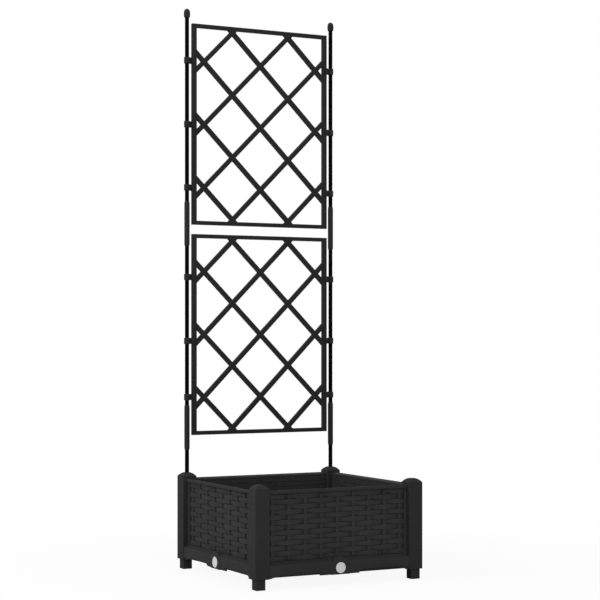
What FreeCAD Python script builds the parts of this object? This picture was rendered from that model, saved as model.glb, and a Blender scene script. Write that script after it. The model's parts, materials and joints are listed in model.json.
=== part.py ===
import FreeCAD, Part
import math
import os
import Sketcher

# A square floor planter on four short feet, with a two-tier trellis standing in its back posts.
# The origin is on the floor under the middle of the box. X runs along the front face, Y runs
# from the front to the trellis at the back, and Z is up. Every length is in millimetres.

# Sizes that drive the model, piece by piece: name, value, what it measures.
SIZES = [
    ("overall_side", 430, "box, outer face to outer face of the corner posts"),
    ("cut_over", 2, "how far a cut runs past the face that it opens"),
    ("bite", 1, "how deep a fused rib roots in its wall"),
    ("slip", 0.1, "clearance of a pushed-in fit"),
    ("body_gap", 0.3, "clearance beside a piece that lifts out"),
    ("post_side", 36, "corner post, outer width"),
    ("post_corner", 2, "corner post, radius of its upright edges"),
    ("post_height", 198, "corner post, length"),
    ("post_wall", 2.5, "corner post, wall"),
    ("post_floor", 3, "corner post, plate at the bottom"),
    ("core_radius", 7.5, "corner post, core tube in the middle"),
    ("core_drop", 10, "corner post, core tube ends this far below the top"),
    ("web_thickness", 2, "corner post, webs that hold the core tube"),
    ("foot_side", 23, "foot, width of the peg"),
    ("foot_corner", 2, "foot, radius of its upright edges"),
    ("foot_height", 24, "foot, height of the box above the floor"),
    ("foot_shift", 2, "foot, how far it stands out from the post's middle on each side"),
    ("foot_chamfer", 1, "foot, chamfer at the floor"),
    ("foot_spigot_radius", 6, "foot, spigot that enters the post"),
    ("foot_spigot_length", 16, "foot, length of the spigot"),
    ("cap_rise", 10, "post cap, height above the post"),
    ("cap_skirt", 0.8, "post cap, upright band under its sloping sides"),
    ("cap_flat", 6.4, "post cap, half width of its level top"),
    ("cap_round", 24, "post cap, radius to which its sloping sides bulge"),
    ("cap_roof", 3, "post cap, thickness at the top"),
    ("cap_hollow", 2.5, "post cap, how far its wide hollow rises above the post"),
    ("cap_spigot_length", 8, "post cap, depth of the collar in the post"),
    ("cap_spigot_wall", 2, "post cap, wall of the collar"),
    ("rail_setback", 2, "side panel, foot rail behind the post face"),
    ("rim_setback", 8, "side panel, top rim behind the post face"),
    ("stile_setback", 16, "side panel, end stile behind the post face"),
    ("wall_setback", 21, "side panel, plain wall behind the post face"),
    ("panel_wall", 3, "side panel, thickness of the plain wall"),
    ("panel_skin", 2.5, "side panel, wall of the hollow foot rail"),
    ("rail_height", 31, "side panel, foot rail up to its outer edge"),
    ("rail_round", 3, "side panel, rounding on the foot rail's outer edge"),
    ("ledge_rise", 5, "side panel, slope of the foot rail's top"),
    ("curl_height", 10, "side panel, height over which the foot rail tucks under"),
    ("curl_tuck", 4, "side panel, how far the foot rail tucks under"),
    ("rim_band", 9.1, "side panel, height of the top rim"),
    ("rim_round", 2.5, "side panel, rounding of the top rim"),
    ("stile_width", 6, "side panel, end stile beside the post"),
    ("tongue_reach", 8, "side panel, tongue into the post"),
    ("tongue_thickness", 4, "side panel, thickness of the tongue"),
    ("lip_reach", 8, "side panel, inside lip that carries the tray"),
    ("lip_thickness", 2.5, "side panel, thickness of that lip"),
    ("arch_rise", 3.7, "side panel, lower edge of the foot rail lifted on each side of the drain"),
    ("arch_run", 24, "side panel, length of the curve up from the post"),
    ("arch_margin", 5, "side panel, level part of the lower edge at the post"),
    ("apron_half", 50, "side panel, half the middle that is level with the posts' lower ends"),
    ("apron_slope", 4, "side panel, run of the slope beside that middle"),
    ("rib_pitch", 41, "weave, spacing of the upright ribs"),
    ("rib_width", 10, "weave, width of a rib"),
    ("rib_crest", 5, "weave, flat front of a rib"),
    ("rib_setback", 16.5, "weave, rib front behind the post face"),
    ("rib_shoulder", 2, "weave, depth of a rib's slanted shoulder"),
    ("strand_pitch", 11.5, "weave, spacing of the level strands"),
    ("strand_height", 10.3, "weave, height of a strand"),
    ("strand_over", 14.8, "weave, strand front where it passes over a rib"),
    ("strand_under", 20.2, "weave, strand front where it passes behind a rib"),
    ("strand_flat", 15, "weave, straight part of a strand at a rib"),
    ("drain_height", 39.2, "drain, height of its middle above the floor"),
    ("drain_radius", 6, "drain, radius of the plug's stem"),
    ("drain_tube_wall", 3.3, "drain, wall of the tube through the foot rail"),
    ("boss_radius", 25, "drain, round-topped boss on the foot rail"),
    ("boss_setback", 1.3, "drain, boss face behind the post face"),
    ("boss_floor", 2, "drain, plate under the plug's head"),
    ("plug_setback", 0.3, "drain plug, face behind the post face"),
    ("plug_head_radius", 12.6, "drain plug, radius of the head"),
    ("plug_head_thickness", 2.7, "drain plug, thickness of the head"),
    ("plug_head_chamfer", 0.8, "drain plug, chamfer round the head"),
    ("plug_dish_radius", 9, "drain plug, radius of the shallow dish"),
    ("plug_dish_depth", 0.5, "drain plug, depth of the shallow dish"),
    ("plug_tip", 4, "drain plug, stem inside the tray wall"),
    ("plug_bore_radius", 3.5, "drain plug, hollow of the stem"),
    ("seal_width", 4, "plug seal, width of the ring"),
    ("seal_thickness", 1.2, "plug seal, thickness"),
    ("tray_height", 28, "floor tray, height of its wall"),
    ("tray_wall", 2.5, "floor tray, wall and floor"),
    ("column_radius", 9, "floor tray, columns that carry the soil grid"),
    ("column_spacing", 170, "floor tray, spacing of the columns"),
    ("grid_thickness", 3.5, "soil grid, thickness"),
    ("slot_length", 52, "soil grid, length of a drain slot"),
    ("slot_width", 8, "soil grid, width of a drain slot"),
    ("slot_pitch_long", 64, "soil grid, spacing of slots end to end"),
    ("slot_pitch_wide", 26, "soil grid, spacing of slots side by side"),
    ("pole_diameter", 10, "trellis pole, outside"),
    ("pole_wall", 1, "trellis pole, wall of the tube"),
    ("pole_insert", 140, "trellis pole, depth in the corner post"),
    ("lower_joint", 340, "trellis pole, height of the first joint"),
    ("upper_joint", 831.5, "trellis pole, height of the second joint"),
    ("finial_base", 1328.5, "finial, height of its lower end"),
    ("finial_height", 21.5, "finial, length"),
    ("finial_radius", 7.7, "finial, greatest radius"),
    ("finial_bore", 10, "finial, depth of the socket on the pole"),
    ("sleeve_length", 108, "sleeve over a pole joint, length"),
    ("sleeve_radius", 6.5, "sleeve, outer radius"),
    ("sleeve_taper", 6, "sleeve, length of its tapered ends"),
    ("sleeve_lip", 0.5, "sleeve, wall left at the tapered ends"),
    ("lattice_width", 368, "lattice, outer width"),
    ("lattice_height", 485.6, "lattice, outer height"),
    ("lattice_thickness", 10, "lattice, thickness"),
    ("lattice_stile", 11, "lattice, width of its upright border"),
    ("lattice_rail", 9.4, "lattice, height of its level border"),
    ("lattice_strip", 10.4, "lattice, width of a slanting strip"),
    ("lattice_chamfer", 0.3, "lattice, bevel along every edge"),
    ("lattice_pitch", 152.4, "lattice, spacing of the crossings"),
    ("lower_lattice_base", 321.3, "lower lattice, height of its lower edge"),
    ("upper_lattice_base", 829.7, "upper lattice, height of its lower edge"),
    ("clip_height", 14.7, "clip, height"),
    ("clip_ring_radius", 7.2, "clip, outer radius of the ring on the pole"),
    ("clip_arm_thickness", 5, "clip, arm between ring and saddle"),
    ("clip_wall", 2.2, "clip, wall of the saddle"),
    ("clip_lip", 5, "clip, how far the saddle grips over the stile"),
    ("upper_clip_low", 89.2, "upper lattice, lowest clip above its lower edge"),
    ("upper_clip_middle", 241.8, "upper lattice, middle clip"),
    ("upper_clip_high", 395.9, "upper lattice, highest clip"),
    ("lower_clip_low", 91.8, "lower lattice, lowest clip above its lower edge"),
    ("lower_clip_middle", 227.4, "lower lattice, middle clip"),
    ("lower_clip_high", 381.6, "lower lattice, highest clip"),
]

# How often things repeat.
RIBS = 9
STRANDS = 13
SLOTS_LONG = 5
SLOTS_WIDE = 13
LATTICE_COLUMNS = 4
LATTICE_ROWS = 3

# Outline of a finial from its lower end to its tip, as shares of its radius and its height.
FINIAL_SHARES = (
    (0.82, 0), (0.95, 0.12), (1, 0.26), (1, 0.53), (0.95, 0.68), (0.83, 0.8), (0.6, 0.91),
    (0.3, 0.98), (0, 1),
)

# The share of a diagonal band's width that it takes along each side of a square corner.
DIAGONAL_SHARE = math.sqrt(0.5)

# Two places closer than this are taken as one.
SAME_PLACE = 1e-4

CORNERS = {"front_left": 0, "front_right": 90, "back_right": 180, "back_left": 270}
SIDES = {"front": 0, "right": 90, "back": 180, "left": 270}


class Size:
    """A length that knows its number and the sheet formula that it comes from."""

    def __init__(self, value, formula):
        self.value = float(value)
        self.formula = formula

    def __add__(self, other):
        other = size_of(other)
        return Size(self.value + other.value, f"({self.formula} + {other.formula})")

    def __sub__(self, other):
        other = size_of(other)
        return Size(self.value - other.value, f"({self.formula} - {other.formula})")

    def __mul__(self, other):
        other = size_of(other)
        return Size(self.value * other.value, f"({self.formula} * {other.formula})")

    def __truediv__(self, other):
        other = size_of(other)
        return Size(self.value / other.value, f"({self.formula} / {other.formula})")

    def __neg__(self):
        return Size(-self.value, f"(0 - {self.formula})")

    __radd__ = __add__
    __rmul__ = __mul__


def size_of(number):
    """A plain number as a Size, and a Size as it is."""
    if isinstance(number, Size):
        return number
    return Size(number, f"({number})")


def root(size):
    """The square root of a Size."""
    return Size(math.sqrt(size.value), f"sqrt({size.formula})")


class Sizes:
    """The sheet of driving sizes; each one is read by its name."""

    def __init__(self, doc, rows):
        sheet = doc.addObject("Spreadsheet::Sheet", "Sizes")
        for row, (name, value, note) in enumerate(rows, start=1):
            sheet.set(f"A{row}", name)
            sheet.set(f"B{row}", str(value))
            sheet.set(f"C{row}", note)
            sheet.setAlias(f"B{row}", name)
            setattr(self, name, Size(value, f"Sizes.{name}"))
        doc.recompute()


doc = FreeCAD.newDocument("planter")
S = Sizes(doc, SIZES)
steps = []

# Places that several pieces share, worked out from the sizes above.
half_side = S.overall_side / 2
post_half = S.post_side / 2
post_axis = half_side - post_half
post_inner = post_half - S.post_wall
post_top = S.foot_height + S.post_height
pole_radius = S.pole_diameter / 2
pole_bore = pole_radius + S.slip
pole_foot = post_top - S.pole_insert
panel_half = half_side - S.post_side - S.slip
panel_inner = S.wall_setback + S.panel_wall
panel_plane = half_side - panel_inner
field_base = S.rail_height + S.ledge_rise
field_height = S.strand_pitch * STRANDS
panel_height = field_base + field_height + S.rim_band
drain_axis = S.drain_height - S.foot_height
drain_bore = S.drain_radius + S.slip
seal_front = S.plug_setback + S.plug_head_thickness
seal_back = seal_front + S.seal_thickness + S.slip
tray_base = S.foot_height + S.arch_rise + S.lip_thickness
tray_half = panel_plane - S.body_gap
tray_notch = half_side - S.post_side - S.body_gap
grid_base = tray_base + S.tray_height
stile_half = S.lattice_thickness / 2
stile_face = post_axis - S.lattice_width / 2


def new_body(name):
    """An empty piece, named as its file will be."""
    body = doc.addObject("PartDesign::Body", name)
    body.Label = name
    return body


def plane_of(body, role):
    """One of a piece's own origin planes or axes."""
    for feature in body.Origin.OriginFeatures:
        if feature.Role == role:
            return feature
    raise ValueError(role)


def new_sketch(body, role, name, offset=0):
    """A sketch on an origin plane, moved along the plane's normal by offset."""
    sketch = body.newObject("Sketcher::SketchObject", name)
    sketch.AttachmentSupport = [(plane_of(body, role), "")]
    sketch.MapMode = "FlatFace"
    offset = size_of(offset)
    sketch.AttachmentOffset = FreeCAD.Placement(
        FreeCAD.Vector(0, 0, offset.value), FreeCAD.Rotation())
    sketch.setExpression("AttachmentOffset.Base.z", offset.formula)
    return sketch


def bind(sketch, kind, handles, size):
    """Add one dimension and tie it to its formula."""
    index = sketch.addConstraint(Sketcher.Constraint(kind, *handles, size.value))
    sketch.setExpression(f"Constraints[{index}]", size.formula)


def arc_between(start, end, radius, side):
    """The short arc from start to end; side is 1 where it bulges to the right of the way there."""
    chord = end - start
    middle = (start + end) * 0.5
    square = max(radius * radius - chord.Length * chord.Length / 4, 0.0)
    outward = FreeCAD.Vector(chord.y, -chord.x, 0).normalize() * side
    centre = middle - outward * math.sqrt(square)
    return Part.Arc(start, centre + outward * radius, end)


def outline(sketch, path):
    """Draw a closed outline. A corner is (x, y), or (x, y, radius, side) where an arc ends."""
    corners = [(size_of(c[0]), size_of(c[1]), *c[2:]) for c in path]
    spots = [FreeCAD.Vector(c[0].value, c[1].value, 0) for c in corners]
    count = len(corners)
    ends = []
    for k in range(count):
        follow = (k + 1) % count
        if len(corners[follow]) == 4:
            radius, side = corners[follow][2:]
            edge = arc_between(spots[k], spots[follow], radius.value, side)
        else:
            edge = Part.LineSegment(spots[k], spots[follow])
        number = sketch.addGeometry(edge)
        at_start = sketch.getPoint(number, 1).distanceToPoint(spots[k])
        at_end = sketch.getPoint(number, 2).distanceToPoint(spots[k])
        ends.append((number, 1, 2) if at_start < at_end else (number, 2, 1))
    for k in range(count):
        here = ends[k]
        follow = ends[(k + 1) % count]
        sketch.addConstraint(
            Sketcher.Constraint("Coincident", here[0], here[2], follow[0], follow[1]))
    for k in range(count):
        bind(sketch, "DistanceX", (-1, 1, ends[k][0], ends[k][1]), corners[k][0])
        bind(sketch, "DistanceY", (-1, 1, ends[k][0], ends[k][1]), corners[k][1])
        follow = corners[(k + 1) % count]
        if len(follow) == 4:
            bind(sketch, "Radius", (ends[k][0],), follow[2])


def circle(sketch, x, y, radius):
    """Draw a circle."""
    x, y = size_of(x), size_of(y)
    centre = FreeCAD.Vector(x.value, y.value, 0)
    number = sketch.addGeometry(Part.Circle(centre, FreeCAD.Vector(0, 0, 1), radius.value))
    bind(sketch, "DistanceX", (-1, 1, number, 3), x)
    bind(sketch, "DistanceY", (-1, 1, number, 3), y)
    bind(sketch, "Radius", (number,), radius)


def rectangle(sketch, x_low, y_low, x_high, y_high):
    """Draw a rectangle from its low corner to its high corner."""
    outline(sketch, [(x_low, y_low), (x_high, y_low), (x_high, y_high), (x_low, y_high)])


def rounded_square(sketch, half, radius):
    """Draw a square about the sketch's origin with rounded corners."""
    flat = half - radius
    outline(sketch, [
        (-flat, -half, radius, 1), (flat, -half),
        (half, -flat, radius, 1), (half, flat),
        (flat, half, radius, 1), (-flat, half),
        (-half, flat, radius, 1), (-half, -flat),
    ])


def notched_square(sketch, half, notch):
    """Draw a square about the origin that leaves its four corners free for the posts."""
    outline(sketch, [
        (-notch, -half), (notch, -half), (notch, -notch), (half, -notch),
        (half, notch), (notch, notch), (notch, half), (-notch, half),
        (-notch, notch), (-half, notch), (-half, -notch), (-notch, -notch),
    ])


def add(body, feature, grows):
    """Make a feature the piece's newest one, and note whether it has to add or to cut."""
    body.Tip = feature
    steps.append((body, feature, grows))
    return feature


def pad(body, sketch, length, both_ways=False, reverse=False):
    """Raise a sketch into material."""
    feature = body.newObject("PartDesign::Pad", sketch.Label + "_pad")
    feature.Profile = sketch
    feature.SideType = "Symmetric" if both_ways else "One side"
    feature.Reversed = reverse
    feature.setExpression("Length", length.formula)
    return add(body, feature, True)


def pocket(body, sketch, length=None, both_ways=False, reverse=False):
    """Cut a sketch out of the piece, right through where no length is given."""
    feature = body.newObject("PartDesign::Pocket", sketch.Label + "_cut")
    feature.Profile = sketch
    feature.SideType = "Symmetric" if both_ways else "One side"
    feature.Reversed = reverse
    if length is None:
        feature.Type = "ThroughAll"
    else:
        feature.setExpression("Length", length.formula)
    return add(body, feature, False)


def turned(body, sketch):
    """Turn a half profile about the upright axis."""
    feature = body.newObject("PartDesign::Revolution", sketch.Label + "_turned")
    feature.Profile = sketch
    feature.ReferenceAxis = (plane_of(body, "Z_Axis"), [""])
    return add(body, feature, True)


def pattern(body, original, grows, first, second=None):
    """Repeat a feature along one or two axes; each is given as axis, count and spacing."""
    feature = body.newObject("PartDesign::LinearPattern", original.Label + "_pattern")
    feature.Originals = [original]
    axis, count, spacing = first
    feature.Direction = (plane_of(body, axis), [""])
    feature.Occurrences = count
    feature.setExpression("Length", (spacing * (count - 1)).formula)
    if second:
        axis, count, spacing = second
        feature.Direction2 = (plane_of(body, axis), [""])
        feature.Occurrences2 = count
        feature.setExpression("Length2", (spacing * (count - 1)).formula)
    return add(body, feature, grows)


def faces_at(shape, axis, spot):
    """Names of the flat faces that lie square to an axis at a spot along it."""
    names = []
    for number, face in enumerate(shape.Faces, start=1):
        box = face.BoundBox
        low = (box.XMin, box.YMin, box.ZMin)[axis]
        high = (box.XMax, box.YMax, box.ZMax)[axis]
        if abs(low - spot) < SAME_PLACE and abs(high - spot) < SAME_PLACE:
            names.append(f"Face{number}")
    return names


def bevel(body, axis, spots, width):
    """Bevel every edge of the flat faces that lie square to an axis at the given spots."""
    doc.recompute()
    base = body.Tip
    names = [name for spot in spots for name in faces_at(base.Shape, axis, spot.value)]
    feature = body.newObject("PartDesign::Chamfer", body.Label + "_bevel")
    feature.Base = (base, names)
    feature.setExpression("Size", width.formula)
    return add(body, feature, False)


def check_steps():
    """Make sure that every feature worked and did what it was meant to do."""
    volumes = {}
    for body, feature, grows in steps:
        name = f"{body.Label}: {feature.Label}"
        if {"Invalid", "Error"} & set(feature.State) or feature.Shape.isNull():
            raise RuntimeError(f"{name} failed")
        before = volumes.get(body.Name, 0.0)
        after = feature.Shape.Volume
        if grows and after <= before:
            raise RuntimeError(f"{name} adds nothing")
        if not grows and after >= before:
            raise RuntimeError(f"{name} cuts nothing")
        volumes[body.Name] = after


def place(body, x, y, z, turn=0):
    """Set a piece at x, y, z, then swing it about the planter's middle by a quarter turn or more."""
    swings = {0: (x, y), 90: (-y, x), 180: (-x, -y), 270: (y, -x)}
    x, y = swings[turn]
    spots = [size_of(x), size_of(y), size_of(z)]
    body.Placement = FreeCAD.Placement(
        FreeCAD.Vector(*[spot.value for spot in spots]),
        FreeCAD.Rotation(FreeCAD.Vector(0, 0, 1), turn))
    for letter, spot in zip("xyz", spots):
        body.setExpression(f"Placement.Base.{letter}", spot.formula)


def make_post(corner, turn):
    """Corner post: a square tube with a core tube on diagonal webs and two slots for the panels."""
    body = new_body(f"corner_post_{corner}")

    tube = new_sketch(body, "XY_Plane", "tube")
    rounded_square(tube, post_half, S.post_corner)
    pad(body, tube, S.post_height)

    hollow = new_sketch(body, "XY_Plane", "hollow", S.post_height)
    rectangle(hollow, -post_inner, -post_inner, post_inner, post_inner)
    pocket(body, hollow, S.post_height - S.post_floor)

    core_height = S.post_height - S.core_drop - S.post_floor + S.bite
    core = new_sketch(body, "XY_Plane", "core", S.post_floor - S.bite)
    circle(core, 0, 0, S.core_radius)
    pad(body, core, core_height)

    reach = post_inner + S.bite
    side = S.web_thickness * DIAGONAL_SHARE
    for name, way in (("web", 1), ("cross_web", -1)):
        web = new_sketch(body, "XY_Plane", name, S.post_floor - S.bite)
        outline(web, [
            (-reach * way, -reach), (-(reach - side) * way, -reach), (reach * way, reach - side),
            (reach * way, reach), ((reach - side) * way, reach), (-reach * way, side - reach),
        ])
        pad(body, web, core_height)

    bore = new_sketch(body, "XY_Plane", "pole_bore", S.post_height)
    circle(bore, 0, 0, pole_bore)
    pocket(body, bore, S.pole_insert)

    seat = new_sketch(body, "XY_Plane", "foot_seat")
    circle(seat, 0, 0, S.foot_spigot_radius + S.slip)
    pocket(body, seat, S.foot_spigot_length + S.slip, reverse=True)

    slot_half = S.tongue_thickness / 2 + S.slip
    slot_low = post_inner - S.bite
    slot_high = post_half + S.cut_over
    slots = new_sketch(body, "XY_Plane", "slots", S.post_height)
    rectangle(slots, slot_low, -slot_half, slot_high, slot_half)
    rectangle(slots, -slot_half, slot_low, slot_half, slot_high)
    pocket(body, slots, S.post_height - field_base + S.bite + S.slip)

    place(body, -post_axis, -post_axis, S.foot_height, turn)


def make_cap(corner, turn, carries_pole):
    """Post cap: four sloping sides that bulge a little, with a collar inside the post."""
    body = new_body(f"post_cap_{corner}")
    flat = S.cap_flat
    bulge = S.cap_round

    dome = new_sketch(body, "XZ_Plane", "dome")
    outline(dome, [
        (-post_half, 0), (post_half, 0), (post_half, S.cap_skirt),
        (flat, S.cap_rise, bulge, 1), (-flat, S.cap_rise),
        (-post_half, S.cap_skirt, bulge, 1),
    ])
    pad(body, dome, S.post_side, both_ways=True)

    outer = post_half + S.cut_over
    over = S.cap_rise + S.cut_over
    shoulders = new_sketch(body, "YZ_Plane", "shoulders")
    outline(shoulders, [
        (post_half, S.cap_skirt, bulge, -1), (outer, S.cap_skirt), (outer, over), (flat, over),
        (flat, S.cap_rise),
    ])
    outline(shoulders, [
        (-flat, S.cap_rise, bulge, -1), (-flat, over), (-outer, over), (-outer, S.cap_skirt),
        (-post_half, S.cap_skirt),
    ])
    pocket(body, shoulders, both_ways=True)

    edges = new_sketch(body, "XY_Plane", "edges")
    rectangle(edges, -outer, -outer, outer, outer)
    rounded_square(edges, post_half, S.post_corner)
    pocket(body, edges, reverse=True)

    collar_half = post_inner - S.slip
    collar_inner = collar_half - S.cap_spigot_wall
    collar = new_sketch(body, "XY_Plane", "collar", -S.cap_spigot_length)
    rectangle(collar, -collar_half, -collar_half, collar_half, collar_half)
    pad(body, collar, S.cap_spigot_length)

    inside = new_sketch(body, "XY_Plane", "inside", -S.cap_spigot_length)
    rectangle(inside, -collar_inner, -collar_inner, collar_inner, collar_inner)
    pocket(body, inside, S.cap_spigot_length + S.cap_hollow, reverse=True)

    crown = new_sketch(body, "XY_Plane", "crown")
    rectangle(crown, -flat, -flat, flat, flat)
    pocket(body, crown, S.cap_rise - S.cap_roof, reverse=True)

    if carries_pole:
        hole = new_sketch(body, "XY_Plane", "pole_hole")
        circle(hole, 0, 0, pole_bore)
        pocket(body, hole, reverse=True)

    place(body, -post_axis, -post_axis, post_top, turn)


def make_foot(corner, turn):
    """Foot: a square peg with a round spigot that is pushed into the post."""
    body = new_body(f"foot_{corner}")

    peg = new_sketch(body, "XY_Plane", "peg")
    rounded_square(peg, S.foot_side / 2, S.foot_corner)
    pad(body, peg, S.foot_height)
    bevel(body, 2, [size_of(0)], S.foot_chamfer)

    spigot = new_sketch(body, "XY_Plane", "spigot", S.foot_height)
    circle(spigot, S.foot_shift, S.foot_shift, S.foot_spigot_radius)
    pad(body, spigot, S.foot_spigot_length)

    foot_axis = post_axis + S.foot_shift
    place(body, -foot_axis, -foot_axis, 0, turn)


def strand_path(over_even):
    """Outline of one level strand seen from above: over one rib, behind the next, and so on."""
    back = S.wall_setback + S.bite
    middle = (S.strand_over + S.strand_under) / 2
    reach = S.strand_flat / 2
    path = [(-panel_half, back), (-panel_half, middle)]
    first = -(RIBS // 2)
    for rib in range(first, first + RIBS):
        passes_over = (rib % 2 == 0) == over_even
        level = S.strand_over if passes_over else S.strand_under
        centre = S.rib_pitch * rib
        path += [(centre - reach, level), (centre + reach, level)]
    return path + [(panel_half, middle), (panel_half, back)]


def make_weave(body):
    """Upright ribs and level strands, moulded in one with the panel's wall."""
    back = S.wall_setback + S.bite
    first_rib = S.rib_pitch * -(RIBS // 2)
    crest = S.rib_crest / 2
    shoulder = S.rib_width / 2
    rib = new_sketch(body, "XY_Plane", "rib", field_base)
    outline(rib, [
        (first_rib - shoulder, back), (first_rib - shoulder, S.rib_setback + S.rib_shoulder),
        (first_rib - crest, S.rib_setback), (first_rib + crest, S.rib_setback),
        (first_rib + shoulder, S.rib_setback + S.rib_shoulder), (first_rib + shoulder, back),
    ])
    pattern(body, pad(body, rib, field_height), True, ("X_Axis", RIBS, S.rib_pitch))

    groove = (S.strand_pitch - S.strand_height) / 2
    for name, first, over_even in (("strand", 0, True), ("crossing_strand", 1, False)):
        base = field_base + S.strand_pitch * first + groove
        strand = new_sketch(body, "XY_Plane", name, base)
        outline(strand, strand_path(over_even))
        count = len(range(first, STRANDS, 2))
        pattern(body, pad(body, strand, S.strand_height), True,
                ("Z_Axis", count, S.strand_pitch * 2))


def make_drain_boss(body):
    """Round-topped boss on the foot rail, hollow behind, with a tube for the drain plug."""
    def arch(sketch, radius, floor):
        outline(sketch, [
            (-radius, floor), (radius, floor), (radius, drain_axis),
            (0, drain_axis + radius, radius, 1), (-radius, drain_axis, radius, 1),
        ])

    boss = new_sketch(body, "XZ_Plane", "boss", -S.boss_setback)
    arch(boss, S.boss_radius, 0)
    pad(body, boss, S.wall_setback + S.bite - S.boss_setback, reverse=True)

    hollow_front = seal_back + S.boss_floor
    hollow = new_sketch(body, "XZ_Plane", "boss_hollow", -hollow_front)
    arch(hollow, S.boss_radius - S.panel_skin, -S.cut_over)
    pocket(body, hollow, S.wall_setback - hollow_front)

    tube = new_sketch(body, "XZ_Plane", "drain_tube", S.bite - hollow_front)
    circle(tube, 0, drain_axis, drain_bore + S.drain_tube_wall)
    pad(body, tube, S.wall_setback + S.bite * 2 - hollow_front, reverse=True)

    seat = new_sketch(body, "XZ_Plane", "plug_seat")
    circle(seat, 0, drain_axis, S.plug_head_radius + S.body_gap)
    pocket(body, seat, seal_back)

    bore = new_sketch(body, "XZ_Plane", "drain_bore")
    circle(bore, 0, drain_axis, drain_bore)
    pocket(body, bore)


def make_panel(side, turn):
    """Side panel: rim, woven field, hollow foot rail with a drain boss, and a tongue at each end."""
    body = new_body(f"side_panel_{side}")
    rail_edge = S.rail_setback + S.rail_round
    curl = (S.curl_height * S.curl_height + S.curl_tuck * S.curl_tuck) / (S.curl_tuck * 2)
    tucked = S.rail_setback + S.curl_tuck
    skin = S.rail_setback + S.panel_skin
    lip = panel_inner + S.lip_reach
    lip_top = S.arch_rise + S.lip_thickness

    section = new_sketch(body, "YZ_Plane", "section")
    outline(section, [
        (lip, S.arch_rise), (lip, lip_top), (panel_inner, lip_top), (panel_inner, panel_height),
        (S.rim_setback + S.rim_round, panel_height),
        (S.rim_setback, panel_height - S.rim_round, S.rim_round, 1),
        (S.rim_setback, panel_height - S.rim_band), (S.wall_setback, panel_height - S.rim_band),
        (S.wall_setback, field_base), (rail_edge, S.rail_height),
        (S.rail_setback, S.rail_height - S.rail_round, S.rail_round, 1),
        (S.rail_setback, S.curl_height), (tucked, 0, curl, 1),
        (tucked + S.panel_skin, 0), (skin, S.curl_height, curl, -1),
        (skin, S.rail_height - S.rail_round), (S.wall_setback, field_base - S.panel_skin),
        (S.wall_setback, 0), (panel_inner, 0), (panel_inner, S.arch_rise),
    ])
    pad(body, section, panel_half * 2, both_ways=True)

    # The foot rail's lower edge is arched; the wall behind it runs straight down.
    ends = panel_half - S.arch_margin
    shallow = S.apron_half + S.apron_slope
    bend = (S.arch_run * S.arch_run + S.arch_rise * S.arch_rise) / (S.arch_rise * 2)
    edge = new_sketch(body, "XZ_Plane", "lower_edge")
    outline(edge, [
        (-ends, -S.cut_over), (ends, -S.cut_over), (ends, 0),
        (ends - S.arch_run, S.arch_rise, bend, 1), (shallow, S.arch_rise),
        (S.apron_half, 0), (-S.apron_half, 0), (-shallow, S.arch_rise),
        (S.arch_run - ends, S.arch_rise), (-ends, 0, bend, 1),
    ])
    pocket(body, edge, S.wall_setback)

    inner_end = panel_half - S.stile_width
    tip = panel_half + S.tongue_reach
    tongue_back = S.stile_setback + S.tongue_thickness
    back = S.wall_setback + S.bite
    stiles = new_sketch(body, "XY_Plane", "stiles", field_base - S.bite)
    for way in (-1, 1):
        outline(stiles, [
            (inner_end * way, back), (inner_end * way, S.stile_setback),
            (tip * way, S.stile_setback), (tip * way, tongue_back),
            (panel_half * way, tongue_back), (panel_half * way, back),
        ])
    pad(body, stiles, field_height + S.bite * 2)

    # Above the tongue, a tab as deep as the post's wall closes the slot up to the cap.
    tab_end = panel_half + S.post_wall - S.slip
    tabs = new_sketch(body, "XY_Plane", "tabs", field_base)
    for way in (-1, 1):
        rectangle(tabs, panel_half * way, S.stile_setback, tab_end * way, tongue_back)
    pad(body, tabs, S.post_height - S.slip - field_base)

    make_drain_boss(body)
    make_weave(body)
    place(body, 0, -half_side, S.foot_height, turn)


def make_plug(side, turn):
    """Drain plug: a dished round head on a hollow stem that reaches through the tray wall."""
    body = new_body(f"drain_plug_{side}")
    stem_length = half_side - tray_half + S.tray_wall + S.plug_tip - seal_front

    head = new_sketch(body, "XZ_Plane", "head", -S.plug_setback)
    circle(head, 0, 0, S.plug_head_radius)
    pad(body, head, S.plug_head_thickness, reverse=True)
    bevel(body, 1, [S.plug_setback], S.plug_head_chamfer)

    dish = new_sketch(body, "XZ_Plane", "dish", -S.plug_setback)
    circle(dish, 0, 0, S.plug_dish_radius)
    pocket(body, dish, S.plug_dish_depth)

    stem = new_sketch(body, "XZ_Plane", "stem", -seal_front)
    circle(stem, 0, 0, S.drain_radius)
    pad(body, stem, stem_length, reverse=True)

    bore = new_sketch(body, "XZ_Plane", "stem_bore", -(seal_front + stem_length))
    circle(bore, 0, 0, S.plug_bore_radius)
    pocket(body, bore, stem_length, reverse=True)

    place(body, 0, -half_side, S.drain_height, turn)


def make_seal(side, turn):
    """Plug seal: a flat rubber ring behind the plug's head."""
    body = new_body(f"plug_seal_{side}")
    ring = new_sketch(body, "XZ_Plane", "ring", -seal_front)
    circle(ring, 0, 0, S.drain_radius + S.seal_width)
    circle(ring, 0, 0, S.drain_radius)
    pad(body, ring, S.seal_thickness, reverse=True)
    place(body, 0, -half_side, S.drain_height, turn)


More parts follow.
